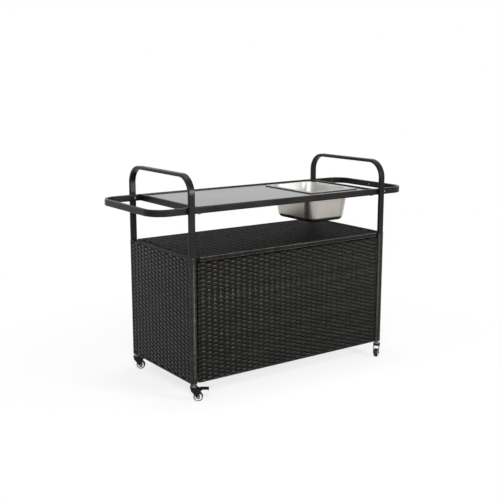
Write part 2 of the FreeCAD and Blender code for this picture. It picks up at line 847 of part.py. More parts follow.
for end, side in ENDS:
    door_x = (side * dim.door_centre_gap / 2, side * door_edge)
    frame = hollow_frame(
        f"{end}_door",
        inset(door_x, dim.weave_return),
        (door_inner, door_face - dim.weave_thickness),
        inset(door_z, dim.weave_return),
        "y",
    )
    drain = cylinder(
        f"{end}_door_drain",
        (side * door_edge / 2, door_inner + bar_depth / 2, floor_bottom),
        "+z",
        dim.weave_return + dim.panel_bar / 2,
        dim.screw_radius,
    )
    node(f"{end}_door_frame", cut(f"{end}_door_drained", frame, [drain]))
    node(f"{end}_door_wicker", tray(f"{end}_door_weave", door_x, (door_inner, door_face), door_z, "-y"))

    knob = turned(
        f"{end}_knob",
        "XY_Plane",
        (
            (0, 0),
            (dim.knob_stem_radius, 0),
            (dim.knob_stem_radius, dim.knob_length - dim.knob_head),
            (dim.knob_radius, dim.knob_length - dim.knob_head + dim.knob_round),
            (dim.knob_radius, dim.knob_length - dim.knob_round),
            (dim.knob_radius - dim.knob_round, dim.knob_length),
            (0, dim.knob_length),
        ),
    )
    place(knob, side * (dim.door_centre_gap / 2 + dim.knob_inset), door_face, front_panel_top - dim.knob_drop)
    node(f"{end}_door_knob", knob)

    door_leaves = []
    for level, bottom in hinge_bottoms:
        name = f"{end}_{level}_hinge"
        axis_point = (side * hinge_x, door_face, bottom)
        upper_bottom = bottom + dim.hinge_height - knuckle
        bore = cylinder(f"{name}_bore", axis_point, "+z", dim.hinge_height, knuckle_bore)
        post_leaf = box(
            f"{name}_post_plate",
            (side * (wrap_inner_x - dim.hinge_leaf), side * wrap_inner_x),
            (door_face, door_face + dim.hinge_leaf_width),
            (bottom, bottom + knuckle),
        )
        post_knuckle = cylinder(f"{name}_post_knuckle", axis_point, "+z", knuckle, dim.hinge_knuckle_radius)
        pin = cylinder(f"{name}_pin", axis_point, "+z", dim.hinge_height, dim.hinge_pin_radius)
        post_side = fuse(f"{name}_post_side", post_leaf, post_knuckle)
        post_leaves.append(fuse(f"{name}_post_leaf", post_side, pin))
        door_leaf = box(
            f"{name}_door_plate",
            (side * door_edge, side * (door_edge + dim.hinge_leaf)),
            (door_face - dim.hinge_leaf_width, door_face),
            (upper_bottom, bottom + dim.hinge_height),
        )
        door_knuckle = cylinder(
            f"{name}_door_knuckle",
            (side * hinge_x, door_face, upper_bottom),
            "+z",
            knuckle,
            dim.hinge_knuckle_radius,
        )
        door_side = fuse(f"{name}_door_side", door_leaf, door_knuckle)
        door_leaves.append(cut(f"{name}_door_leaf", door_side, [bore]))
    node(f"{end}_door_leaves", group(f"{end}_leaf_set", door_leaves))

node("hinge_post_leaves", group("post_leaf_set", post_leaves))

catch_face = door_inner - dim.catch_gap
catch_block = box(
    "catch_block",
    centred(dim.catch_width),
    (catch_face - dim.catch_depth, catch_face),
    (top_panel_bottom - dim.catch_height, top_panel_bottom),
)
catch_tab = box(
    "catch_tab",
    centred(dim.catch_width),
    (catch_face, half_y - dim.weave_return),
    (top_panel_bottom - dim.catch_flange, top_panel_bottom),
)
node("door_catch", fuse("catch_body", catch_block, catch_tab))


# Table frame, joining sleeves and push handles

for edge, edge_side in (("front", -1), ("back", 1)):
    rail = section_bar(
        f"{edge}_rail_tube",
        "YZ_Plane",
        centred(dim.tube_thin),
        centred(dim.tube_broad),
        dim.tube_corner,
        2 * table_end,
        dim.tube_wall,
    )
    place(rail, -table_end, edge_side * rail_y, rail_z)
    node(f"{edge}_table_rail", cut(f"{edge}_rail_drilled", rail, rail_holes[edge]))

sleeves = []
sleeve_margin = dim.tube_wall + dim.sleeve_clearance
for end, side in ENDS:
    cross_rail = section_bar(
        f"{end}_cross_rail",
        "XZ_Plane",
        centred(dim.tube_thin),
        centred(dim.tube_broad),
        dim.tube_corner,
        2 * rail_inner_y,
        dim.tube_wall,
    )
    place(cross_rail, side * (table_end - dim.tube_thin / 2), -rail_inner_y, rail_z)
    node(f"{end}_table_rail", cross_rail)

    handle = bent_tube(
        f"{end}_handle_tube",
        "XY_Plane",
        "XZ_Plane",
        rail_y,
        handle_end - table_end - dim.tube_thin / 2,
        dim.handle_bend,
        (-rail_y - dim.tube_thin / 2, -rail_y + dim.tube_thin / 2),
        centred(dim.tube_broad),
    )
    place(handle, side * table_end, 0, rail_z, -90 * side)
    node(f"{end}_push_handle", cut(f"{end}_handle_drilled", handle, handle_holes[end]))

    for edge, edge_side in (("front", -1), ("back", 1)):
        sleeve = section_bar(
            f"{end}_{edge}_sleeve_bar",
            "YZ_Plane",
            centred(dim.tube_thin - 2 * sleeve_margin),
            centred(dim.tube_broad - 2 * sleeve_margin),
            dim.tube_corner - dim.tube_wall,
            2 * dim.sleeve_reach,
        )
        place(sleeve, side * table_end - dim.sleeve_reach, edge_side * rail_y, rail_z)
        sleeves.append(cut(f"{end}_{edge}_sleeve", sleeve, sleeve_holes[(end, edge)]))

node("rail_sleeves", group("sleeve_set", sleeves))
node("table_bolts", group("table_bolt_set", table_bolts))
node("handle_screws", group("handle_screw_set", handle_screws))


# Glass top on its ledges

ledge_z = (glass_bottom_z - dim.ledge_thickness, glass_bottom_z)
ledge_inner_y = rail_inner_y - dim.ledge_width
ledge_inner_x = table_inner_x - dim.ledge_width
ledges = []
for edge, edge_side in (("front", -1), ("back", 1)):
    limits_y = (edge_side * ledge_inner_y, edge_side * rail_inner_y)
    ledges.append(box(f"{edge}_ledge", (-table_inner_x, table_inner_x), limits_y, ledge_z))
for end, side in ENDS:
    limits_x = (side * ledge_inner_x, side * table_inner_x)
    ledges.append(box(f"{end}_ledge", limits_x, (-ledge_inner_y, ledge_inner_y), ledge_z))
node("glass_ledges", group("ledge_set", ledges))

basin_x = dim.pan_rim_x - 2 * dim.pan_flange
basin_y = dim.pan_rim_y - 2 * dim.pan_flange
lip_inside = 2 * dim.pan_clearance
opening_x = basin_x + lip_inside + 2 * dim.trim_lip
opening_y = basin_y + lip_inside + 2 * dim.trim_lip
trim_outer_x = dim.pan_rim_x + 2 * dim.trim_margin
trim_outer_y = dim.pan_rim_y + 2 * dim.trim_margin
trim_corner = dim.pan_basin_corner + dim.pan_clearance
trim_z = glass_top_z - dim.trim_sink
pan_z = trim_z + dim.trim_thickness

glass = new_body("glass_sheet")
outline = sketch_on(glass, "XY_Plane")
rounded_rectangle(
    outline,
    centred(2 * (table_inner_x - dim.glass_gap)),
    centred(2 * (rail_inner_y - dim.glass_gap)),
    dim.glass_corner,
)
pad(glass, outline, dim.glass_thickness)
opening = sketch_on(glass, "XY_Plane")
rounded_rectangle(
    opening,
    (pan_x - opening_x / 2, pan_x + opening_x / 2),
    centred(opening_y),
    trim_corner + dim.trim_lip,
)
pocket_through(glass, opening)
rebate_outline = sketch_on(glass, "XY_Plane", dim.glass_thickness)
rounded_rectangle(
    rebate_outline,
    (pan_x - trim_outer_x / 2, pan_x + trim_outer_x / 2),
    centred(trim_outer_y),
    dim.pan_rim_corner + dim.trim_margin,
)
rebate = glass.newObject("PartDesign::Pocket", "glass_rebate")
rebate.Profile = rebate_outline
bind(rebate, "Length", dim.trim_sink)
place(glass, 0, 0, glass_bottom_z)
node("glass_top", glass)

trim = new_body("opening_trim")
lip = sketch_on(trim, "XY_Plane")
rounded_rectangle(lip, centred(opening_x), centred(opening_y), trim_corner + dim.trim_lip)
rounded_rectangle(lip, centred(basin_x + lip_inside), centred(basin_y + lip_inside), trim_corner)
pad(trim, lip, dim.glass_thickness - dim.trim_sink, reverse=True)
flange = sketch_on(trim, "XY_Plane")
rounded_rectangle(flange, centred(trim_outer_x), centred(trim_outer_y), dim.pan_rim_corner + dim.trim_margin)
rounded_rectangle(flange, centred(basin_x + lip_inside), centred(basin_y + lip_inside), trim_corner)
pad(trim, flange, dim.trim_thickness)
place(trim, pan_x, 0, trim_z)
node("pan_opening_trim", trim)


# Lift-out pan

def edges_at_height(shape, height):
    """Names of the edges that lie level at a height."""
    return [
        f"Edge{index}"
        for index, edge in enumerate(shape.Edges, start=1)
        if all(abs(vertex.Z - height) < 1e-6 for vertex in edge.Vertexes)
    ]


def basin(name, mouth_z, bottom_z, shrink, rounding):
    """A tapered block with a round bottom edge, drawn in by a margin all round."""
    body = new_body(name)
    sketches = []
    for height, lean in ((mouth_z, 0), (bottom_z, dim.pan_taper)):
        sketch = sketch_on(body, "XY_Plane", height)
        rounded_rectangle(
            sketch,
            centred(basin_x - 2 * (shrink + lean)),
            centred(basin_y - 2 * (shrink + lean)),
            dim.pan_basin_corner - shrink,
        )
        sketches.append(sketch)
    loft = body.newObject("PartDesign::AdditiveLoft", f"{name}_loft")
    loft.Profile = sketches[0]
    loft.Sections = sketches[1:]
    loft.Ruled = True
    doc.recompute()
    fillet = body.newObject("PartDesign::Fillet", f"{name}_fillet")
    fillet.Base = (loft, edges_at_height(loft.Shape, bottom_z.value))
    bind(fillet, "Radius", rounding)
    place(body, pan_x, 0, pan_z)
    return body


pan_outside = basin("pan_outside", 0, -dim.pan_depth, as_size(0), dim.pan_bottom_fillet)
rim = sketch_on(pan_outside, "XY_Plane")
rounded_rectangle(rim, centred(dim.pan_rim_x), centred(dim.pan_rim_y), dim.pan_rim_corner)
pad(pan_outside, rim, dim.pan_rim_thickness)
pan_inside = basin(
    "pan_inside",
    dim.pan_rim_thickness,
    dim.pan_wall - dim.pan_depth,
    dim.pan_wall,
    dim.pan_bottom_fillet - dim.pan_wall,
)
node("pan", cut("pan_shell", pan_outside, [pan_inside]))


# Casters: plugs and stems in the posts, swivelling forks, rolling wheels, pedals on the left pair

plug_margin = dim.tube_wall + dim.sleeve_clearance
plug_bottom = cabinet_bottom - dim.plug_flange
cap_top = plug_bottom - dim.neck_height
cap_bottom = cap_top - dim.cap_height
crown_bottom = cap_bottom - dim.swivel_gap - dim.crown_height
king_head_top = crown_bottom - dim.swivel_gap
fork_inside = dim.wheel_width + 2 * dim.wheel_gap
fork_width = fork_inside + 2 * dim.fork_plate
hub_half = fork_inside / 2 - dim.side_clearance
axle_half = fork_width / 2 + dim.side_clearance
rim_half = dim.wheel_width / 2 - dim.side_clearance
tyre_inner = dim.wheel_radius - dim.tyre_depth
pedal_inside = fork_width / 2 + dim.side_clearance
pedal_half = pedal_inside + dim.pedal_plate
pedal_pivot_x = dim.caster_trail + dim.pedal_offset
pedal_pivot_z = 2 * dim.wheel_radius + dim.pedal_pin_gap + dim.pedal_pin_radius
fork_back = pedal_pivot_x + dim.pedal_heel - dim.pedal_gap


def stem_with_king_pin(name):
    """Threaded stem, bearing cap and king pin, turned as one piece."""
    return turned(
        name,
        "XZ_Plane",
        (
            (0, king_head_top - dim.king_head_height),
            (dim.king_head_radius, king_head_top - dim.king_head_height),
            (dim.king_head_radius, king_head_top),
            (dim.king_pin_radius, king_head_top),
            (dim.king_pin_radius, cap_bottom),
            (dim.cap_radius, cap_bottom),
            (dim.cap_radius, cap_top),
            (dim.neck_radius, cap_top),
            (dim.neck_radius, plug_bottom),
            (dim.king_pin_radius, plug_bottom),
            (dim.king_pin_radius, cabinet_bottom + dim.stem_height),
            (0, cabinet_bottom + dim.stem_height),
        ),
    )


def post_plug(name):
    """Insert in the open end of a post, bored for the stem."""
    body = new_body(name)
    core = sketch_on(body, "XY_Plane", dim.plug_flange)
    rounded_rectangle(
        core,
        centred(dim.tube_broad - 2 * plug_margin),
        centred(dim.tube_thin - 2 * plug_margin),
        dim.tube_corner - dim.tube_wall,
    )
    pad(body, core, dim.stem_height)
    foot = sketch_on(body, "XY_Plane")
    rounded_rectangle(foot, centred(dim.tube_broad), centred(dim.tube_thin), dim.tube_corner)
    pad(body, foot, dim.plug_flange)
    bore = sketch_on(body, "XY_Plane")
    circle(bore, 0, 0, dim.king_pin_radius + dim.running_clearance)
    pocket_through(body, bore)
    return body


def fork_outline(sketch):
    """Side view of the legs."""
    trail = dim.caster_trail
    radius = dim.fork_leg_radius
    web_top = crown_bottom + dim.fork_plate
    polygon(
        sketch,
        (
            (-dim.fork_front, web_top),
            (-dim.fork_front, crown_bottom - radius),
            (trail - radius, dim.wheel_radius),
            (trail + radius, dim.wheel_radius),
            (fork_back, web_top - dim.fork_shoulder),
            (fork_back, web_top),
        ),
    )


def fork(name, braked):
    """Swivelling fork: a round crown over two legs."""
    body = new_body(name)
    legs = sketch_on(body, "XZ_Plane")
    fork_outline(legs)
    pad(body, legs, fork_width, symmetric=True)
    bosses = [(dim.caster_trail, dim.wheel_radius, dim.fork_leg_radius)]
    holes = [(dim.caster_trail, dim.wheel_radius, dim.axle_radius + dim.running_clearance)]
    if braked:
        bosses.append((pedal_pivot_x, pedal_pivot_z, dim.pedal_ear_radius))
        holes.append((pedal_pivot_x, pedal_pivot_z, dim.pedal_pin_radius + dim.running_clearance))
    for boss in bosses:
        sketch = sketch_on(body, "XZ_Plane")
        circle(sketch, *boss)
        pad(body, sketch, fork_width, symmetric=True)
    clearance = sketch_on(body, "YZ_Plane")
    rounded_rectangle(
        clearance,
        centred(fork_inside),
        (-crown_bottom, crown_bottom),
        dim.fork_plate,
    )
    pocket_through(body, clearance)
    crown = sketch_on(body, "XY_Plane", crown_bottom)
    circle(crown, 0, 0, dim.crown_radius)
    pad(body, crown, dim.crown_height)
    for hole in holes:
        sketch = sketch_on(body, "XZ_Plane")
        circle(sketch, *hole)
        pocket_through(body, sketch)
    king_bore = sketch_on(body, "XY_Plane")
    circle(king_bore, 0, 0, dim.king_pin_radius + dim.running_clearance)
    pocket_through(body, king_bore)
    return body


def axle(name):
    """Axle with a head outside each leg."""
    outer = axle_half + dim.axle_head_height
    return turned(
        name,
        "XY_Plane",
        (
            (0, -outer),
            (dim.axle_head_radius, -outer),
            (dim.axle_head_radius, -axle_half),
            (dim.axle_radius, -axle_half),
            (dim.axle_radius, axle_half),
            (dim.axle_head_radius, axle_half),
            (dim.axle_head_radius, outer),
            (0, outer),
        ),
    )


def hub(name):
    """Wheel centre: a bored boss, a web and a rim."""
    bore = dim.axle_radius + dim.running_clearance
    web_half = dim.hub_web / 2
    return turned(
        name,
        "XY_Plane",
        (
            (bore, -hub_half),
            (dim.hub_boss_radius, -hub_half),
            (dim.hub_boss_radius, -web_half),
            (dim.hub_rim_radius, -web_half),
            (dim.hub_rim_radius, -rim_half),
            (tyre_inner, -rim_half),
            (tyre_inner, rim_half),
            (dim.hub_rim_radius, rim_half),
            (dim.hub_rim_radius, web_half),
            (dim.hub_boss_radius, web_half),
            (dim.hub_boss_radius, hub_half),
            (bore, hub_half),
        ),
    )


def tyre(name):
    """Tyre band with bevelled shoulders."""
    half = dim.wheel_width / 2
    return turned(
        name,
        "XY_Plane",
        (
            (tyre_inner, -half),
            (dim.wheel_radius - dim.tyre_round, -half),
            (dim.wheel_radius, dim.tyre_round - half),
            (dim.wheel_radius, half - dim.tyre_round),
            (dim.wheel_radius - dim.tyre_round, half),
            (tyre_inner, half),
        ),
    )


def pedal(name):
    """Brake pedal: a top plate with a hooked end, two ears and a cross pin, about its own pivot."""
    body = new_body(name)
    top = dim.pedal_rise
    under = top - dim.pedal_plate
    hook_x = dim.pedal_toe - dim.pedal_plate
    side_view = sketch_on(body, "XZ_Plane")
    polygon(
        side_view,
        (
            (dim.pedal_heel, top),
            (dim.pedal_heel, under),
            (-dim.pedal_ear_radius, 0),
            (dim.pedal_ear_radius, 0),
            (dim.pedal_strut, under),
            (hook_x, under),
            (hook_x, under - dim.pedal_hook),
            (dim.pedal_toe, under - dim.pedal_hook),
            (dim.pedal_toe, top),
        ),
    )
    pad(body, side_view, 2 * pedal_half, symmetric=True)
    ear = sketch_on(body, "XZ_Plane")
    circle(ear, 0, 0, dim.pedal_ear_radius)
    pad(body, ear, 2 * pedal_half, symmetric=True)
    between = sketch_on(body, "YZ_Plane")
    rounded_rectangle(
        between, centred(2 * pedal_inside), (-2 * pedal_pivot_z, under), dim.pedal_plate
    )
    pocket = body.newObject("PartDesign::Pocket", f"{name}_between")
    pocket.Profile = between
    pocket.SideType = "Symmetric"
    bind(pocket, "Length", 2 * hook_x)
    pin = sketch_on(body, "XZ_Plane")
    circle(pin, 0, 0, dim.pedal_pin_radius)
    pad(body, pin, 2 * pedal_half, symmetric=True)
    return body


stems = []
plugs = []
corners = (
    ("front", -1, "left", -1, dim.left_heading, True),
    ("back", 1, "left", -1, dim.left_heading, True),
    ("front", -1, "right", 1, dim.front_right_heading, False),
    ("back", 1, "right", 1, dim.back_right_heading, False),
)
for edge, edge_side, end, side, heading, braked in corners:
    corner = f"{edge}_{end}"
    swivel_x = side * post_x
    swivel_y = edge_side * post_y
    wheel_x = swivel_x + dim.caster_trail * cosine(heading)
    wheel_y = swivel_y + dim.caster_trail * sine(heading)

    stem = stem_with_king_pin(f"{corner}_stem")
    place(stem, swivel_x, swivel_y)
    stems.append(stem)
    plug = post_plug(f"{corner}_plug")
    place(plug, swivel_x, swivel_y, plug_bottom)
    plugs.append(plug)

    swivel = fork(f"{corner}_fork_body", braked)
    place(swivel, swivel_x, swivel_y, 0, heading)
    node(f"{corner}_caster_fork", swivel)
    for label, maker in (("axle", axle), ("wheel_hub", hub), ("tyre", tyre)):
        piece = maker(f"{corner}_{label}_body")
        place(piece, wheel_x, wheel_y, dim.wheel_radius, heading)
        node(f"{corner}_{label}", piece)
    if braked:
        lever = pedal(f"{corner}_pedal_body")
        lever_x = swivel_x + pedal_pivot_x * cosine(heading)
        lever_y = swivel_y + pedal_pivot_x * sine(heading)
        place(lever, lever_x, lever_y, pedal_pivot_z, heading)
        node(f"{corner}_brake_pedal", lever)

node("caster_stems", group("stem_set", stems))
node("post_end_plugs", group("plug_set", plugs))


# Build, test and write every piece

doc.recompute()
faulty = [obj.Label for obj in doc.Objects if {"Invalid", "Error"} & set(obj.State)]
faulty += [piece.Label for piece in nodes if piece.Shape.isNull() or not piece.Shape.isValid()]
if faulty:
    raise RuntimeError(f"failed pieces: {faulty}")
for piece in nodes:
    piece.Shape.exportStep(f"parts/{piece.Label}.step")
    print(f"{piece.Label}: {len(piece.Shape.Solids)} solids, {piece.Shape.Volume:.1f} mm3")
print(f"{len(nodes)} nodes")
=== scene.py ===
import json
import math

import bpy
import numpy as np
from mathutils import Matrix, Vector


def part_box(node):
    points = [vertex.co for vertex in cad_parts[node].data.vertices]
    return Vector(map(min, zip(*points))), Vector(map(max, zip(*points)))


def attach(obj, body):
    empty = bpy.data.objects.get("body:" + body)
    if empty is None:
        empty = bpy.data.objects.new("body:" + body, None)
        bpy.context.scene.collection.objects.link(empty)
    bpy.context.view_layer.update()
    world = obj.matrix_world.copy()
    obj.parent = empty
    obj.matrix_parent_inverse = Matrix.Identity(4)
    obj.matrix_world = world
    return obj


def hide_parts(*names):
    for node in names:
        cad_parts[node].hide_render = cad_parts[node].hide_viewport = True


# The wicker bar cart's looks: woven strips, wound posts and borders, glass, pressed steel and casters.
# Metres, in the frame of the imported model; lengths in millimetres are multiplied by MM.

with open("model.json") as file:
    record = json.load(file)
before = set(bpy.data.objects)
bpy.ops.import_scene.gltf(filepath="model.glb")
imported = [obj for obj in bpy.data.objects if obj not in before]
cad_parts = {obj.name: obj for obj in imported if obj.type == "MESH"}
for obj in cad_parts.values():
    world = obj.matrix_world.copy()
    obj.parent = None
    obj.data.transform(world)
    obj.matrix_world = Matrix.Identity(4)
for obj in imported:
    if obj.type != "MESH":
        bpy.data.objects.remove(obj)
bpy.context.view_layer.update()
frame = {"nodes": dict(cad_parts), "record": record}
nodes = frame["nodes"]
scene = bpy.context.scene
MM = 0.001

# Directions: the cart's long side runs from left to right, and its front faces -Y.
RIGHT, LEFT = (1, 0, 0), (-1, 0, 0)
FRONT, BACK = (0, -1, 0), (0, 1, 0)
UP = (0, 0, 1)


# Sizes of the woven fields, in millimetres

ROW_PITCH = 8.6  # height of one row of strips
STAKE_PITCH = 28.5  # from one stake to the next
STAKE_HALF, STAKE_THIN = 4.2, 0.5  # half of a stake's width and thickness
STRIP_THIN = 1.3  # half of a strip's thickness
STRIP_SLACK = 0.25  # how far a strip strays from the middle of its row
WEAVE_DEPTH = 6.5
WEAVE_CLEARANCE = 0.1  # left between the strips and the two faces of the field
SIDE_DEPTH = 6.0  # depth of the weave on the cabinet's two ends
UNDERLAY = 0.6  # thickness of the closed layer under the top and floor weave
BINDING_HALF, BINDING_THIN = 3.0, 1.2  # half of the foot strip's width and thickness
CAP_THIN, CAP_DROP = 0.9, 1.0  # half of a cap strip's thickness, and how deep its middle lies

# Sizes of the wound bars, in millimetres

BORDER = 9.0  # width of a bar along a panel's edge
BAR_RADIUS = 2.5
BAR_GROOVE = 0.55  # depth between two turns
FLAT_LEAST = 0.01  # half of the flat that is left between two rounded corners
TURN_WOBBLE = 0.12  # how unevenly the turns stand out
BACK_BAR_PITCH = 6.5
BORDER_PITCH, BORDER_GROOVE = 6.0, 1.6
END_RADIUS, END_GROOVE = 3.0, 0.9
END_LOW_TURNS = 0.8  # how much lower every second turn lies at a woven panel's ends
SIDE_EDGE_PITCH, SIDE_EDGE_RADIUS = 5.0, 1.4
POST_WIDTH, POST_DEPTH = 30.0, 16.5
POST_PITCH, POST_RADIUS, POST_GROOVE = 4.2, 4.5, 0.7

# Shares that shape the strips

WEAVE_FULLNESS, LEVEL_FULLNESS = 0.62, 0.57  # half of a strip's mean width, in row pitches
STRIP_SWELL = 0.15  # added to that where the strip passes in front
STEP_SHARPNESS = 0.45  # the lower, the more squarely a strip steps from front to back
ROW_SAG = 0.08  # most that a row lies behind its neighbours, as a share of its swing
STRIP_LEAN = 0.05  # most that a strip tilts, as a slope
CAP_STRIPS = 2
CAP_SHARE = 0.47  # half of a cap strip's width, in strip pitches
TURN_SLANT = 0.5  # how far a turn slants across its bar, in pitches

# What the wicker material reads: each strip's own tint, and how far a point is crowned, which the material
# paints darker as shade where it is low and paler as a highlight where it is high

WEAVE_TINTS = (0.0, 0.7)
SLAT_TINTS = (0.0, 0.5)
WOUND_TINTS = (0.45, 1.0)
BINDING_TINT, BINDING_CROWN = 0.45, 0.5
CAP_TINT, CAP_TINT_STEP, CAP_CROWN = 0.2, 0.2, 0.35
# Stakes and the layer under the weave lie behind the strips: their low crown paints them darker, as shade
SLAT_CROWN = 0.1
CROWN_MEAN, CROWN_RISE = 0.2, 0.6
# The crown lost at a strip's two edges paints them darker, as shade
EDGE_SHADE = 0.4  # share of the crown that is lost at a strip's two edges
# Levels of painted light on a wound bar's faces and corners; a corner at 1 is painted pale, as a highlight
FACE_PAINTED_LIGHT = 0.7  # crown on the faces of a wound bar
# The front bar's corners at 1 paint a bead line of light along a top or floor panel's front edge
BORDER_PAINTED_LIGHT = (0.5, 0.5, 1.0, 0.5)  # crown on the corners: right and left bars, then front and back ones
# The side panels' wound edges have corners painted darker than their faces, as shade
SIDE_EDGE_PAINTED_LIGHT = 0.2
# The posts' corners are painted pale, as a highlight
POST_PAINTED_LIGHT = 1.0

# Sections and stations, as shares of half a strip's width and thickness and of a stake's or turn's pitch

STRIP_SECTION = np.array(
    (
        (-1.0, -1.0),
        (1.0, -1.0),
        (0.96, -0.1),
        (0.74, 0.6),
        (0.30, 1.0),
        (-0.30, 1.0),
        (-0.74, 0.6),
        (-0.96, -0.1),
    )
)
BRICK_STATIONS = np.array((0.0, 0.12, 0.36, 0.64, 0.88))
TURN_STATIONS = np.array((0.08, 0.32, 0.68, 0.92))
TURN_SINKS = np.array((1.0, 0.0, 0.0, 1.0))  # in groove depths
CORNER_STEPS = 3  # section points on each rounded corner of a wound bar
SLAT_STATIONS = 3
BINDING_STATIONS = 60
CAP_STATIONS = 30


# Meshes from arrays

def spread(*parts):
    """Arrays of coordinates, brought to one shape and joined into points."""
    return np.stack(np.broadcast_arrays(*parts), axis=-1)


def build_object(name, vertices, quads, tint, crown, along):
    """One mesh object from points and four-sided faces, with what its material reads at each point."""
    mesh = bpy.data.meshes.new(name)
    mesh.vertices.add(len(vertices))
    mesh.vertices.foreach_set("co", np.asarray(vertices, np.float32).ravel())
    mesh.loops.add(len(quads) * 4)
    mesh.loops.foreach_set("vertex_index", np.asarray(quads, np.int32).ravel())
    mesh.polygons.add(len(quads))
    mesh.polygons.foreach_set("loop_start", np.arange(0, len(quads) * 4, 4, dtype=np.int32))
    mesh.polygons.foreach_set("use_smooth", np.full(len(quads), True))
    for label, values in (("tint", tint), ("crown", crown)):
        attribute = mesh.attributes.new(label, "FLOAT", "POINT")
        attribute.data.foreach_set("value", np.asarray(values, np.float32))
    attribute = mesh.attributes.new("along", "FLOAT_VECTOR", "POINT")
    attribute.data.foreach_set("vector", np.asarray(along, np.float32).ravel())
    mesh.update(calc_edges=True)
    mesh.validate()
    obj = bpy.data.objects.new(name, mesh)
    scene.collection.objects.link(obj)
    return obj


class Bundle:
    """Many swept strips gathered into one mesh, with random draws of their own."""

    def __init__(self, seed):
        self.random = np.random.RandomState(seed)
        self.vertices = []
        self.quads = []
        self.tints = []
        self.crowns = []
        self.alongs = []
        self.count = 0

    def sweep(self, points, tints, crowns, alongs):
        """Strips as an array of strip, station, section point and axis; section points come in pairs."""
        strips, stations, corners, axes = points.shape
        base = np.arange(strips * stations * corners).reshape(strips, stations, corners) + self.count
        after = np.roll(base, -1, axis=2)
        sides = np.stack((base[:, :-1], after[:, :-1], after[:, 1:], base[:, 1:]), axis=-1).reshape(-1, 4)
        caps = []
        for k in range(corners // 2 - 1):
            near = (k, k + 1, corners - 2 - k, corners - 1 - k)
            caps.append(base[:, 0][:, near[::-1]])
            caps.append(base[:, -1][:, near])
        self.vertices.append(points.reshape(-1, axes))
        self.quads.append(np.concatenate([sides] + caps))
        self.tints.append(np.broadcast_to(tints, (strips, stations, corners)).reshape(-1))
        self.crowns.append(np.broadcast_to(crowns, (strips, stations, corners)).reshape(-1))
        self.alongs.append(np.broadcast_to(alongs, points.shape).reshape(-1, axes))
        self.count += points.size // axes

    def finished(self, name, material, body, replaced):
        """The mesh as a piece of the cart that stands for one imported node."""
        obj = build_object(
            name,
            np.concatenate(self.vertices),
            np.concatenate(self.quads),
            np.concatenate(self.tints),
            np.concatenate(self.crowns),
            np.concatenate(self.alongs),
        )
        obj.data.materials.append(material)
        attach(obj, body)
        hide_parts(replaced)


class Face:
    """A flat place on the cart: a corner, a direction along the strips, one across them and one outward."""

    def __init__(self, corner, along, across, outward):
        self.corner = np.array(corner, float) * MM
        self.axes = np.array((along, across, outward), float)

    def point(self, u, v, w):
        return self.corner + spread(u, v, w) * MM @ self.axes


# Woven and wound strips

def row_count(height):
    """How many rows of strips a woven field of this height has."""
    return max(2, round(height / ROW_PITCH))


def weave(bundle, face, length, height, depth, fullness=WEAVE_FULLNESS):
    """A plain weave of flat strips over stakes; a strip swells where it passes in front."""
    rows = row_count(height)
    pitch = height / rows
    columns = max(2, round(length / STAKE_PITCH))
    stake = length / columns
    swing = depth / 2 - STRIP_THIN - WEAVE_CLEARANCE
    u = np.append((np.arange(columns)[:, None] + BRICK_STATIONS[None, :]).reshape(-1), columns) * stake
    stations = len(u)
    row = np.arange(rows)
    turn = np.where(row % 2 == 0, 1.0, -1.0)[:, None]
    phase = np.cos(np.pi * (u / stake - 0.5))[None, :] * turn
    front = np.sign(phase) * np.abs(phase) ** STEP_SHARPNESS
    lift = front * swing * (1.0 + bundle.random.uniform(-ROW_SAG, 0.0, (rows, 1)))
    stray = bundle.random.uniform(-STRIP_SLACK, STRIP_SLACK, (rows, stations))
    middle = (row[:, None] + 0.5) * pitch + stray
    half = pitch * (fullness + STRIP_SWELL * front)
    lean = bundle.random.uniform(-STRIP_LEAN, STRIP_LEAN, (rows, stations))
    across = STRIP_SECTION[None, None, :, 0] * half[:, :, None]
    level = lift[:, :, None] + STRIP_SECTION[:, 1] * STRIP_THIN + across * lean[:, :, None] - depth / 2
    points = face.point(
        u[None, :, None],
        np.clip(middle[:, :, None] + across, 0.0, height),
        np.clip(level, -depth, 0.0),
    )
    tints = bundle.random.uniform(*WEAVE_TINTS, (rows, 1, 1))
    # The crown paints the strip darker, as shade, where it passes behind and at its edges, and paler, as a
    # highlight, where it passes in front
    ridge = np.maximum(CROWN_MEAN + CROWN_RISE * front, 0.0)
    crowns = ridge[:, :, None] * (1.0 - EDGE_SHADE * STRIP_SECTION[:, 0] ** 2)
    alongs = spread(u[None, :, None], across, row[:, None, None])
    bundle.sweep(points, tints, crowns, alongs * MM)

    slats(bundle, face, length, height, columns, STAKE_HALF, STAKE_THIN, -depth / 2)


def slats(bundle, face, length, height, count, half, thin, level):
    """Straight flat strips at even spacing across a face, as the stakes of a weave or a layer under it."""
    middle = (np.arange(count) + 0.5) * length / count
    ends = np.linspace(height, 0.0, SLAT_STATIONS)
    across = STRIP_SECTION[None, None, :, 0] * half
    points = face.point(
        middle[:, None, None] + across,
        ends[None, :, None],
        STRIP_SECTION[None, None, :, 1] * thin + level,
    )
    tints = bundle.random.uniform(*SLAT_TINTS, (count, 1, 1))
    alongs = spread(ends[None, :, None], across, np.arange(count)[:, None, None])
    bundle.sweep(points, tints, SLAT_CROWN, alongs * MM)


def round_section(width, depth, radius):
    """Corner points of a rounded rectangle about its centre; a small one is rounded as far as it goes."""
    radius = min(radius, width / 2 - FLAT_LEAST, depth / 2 - FLAT_LEAST)
    points = []
    for quarter, (sx, sy) in enumerate(((1, -1), (1, 1), (-1, 1), (-1, -1))):
        for step in range(CORNER_STEPS):
            angle = math.pi / 2 * (quarter - 1 + step / (CORNER_STEPS - 1))
            x = sx * (width / 2 - radius) + radius * math.cos(angle)
            y = sy * (depth / 2 - radius) + radius * math.sin(angle)
            points.append((x, y))
    return np.array(points)


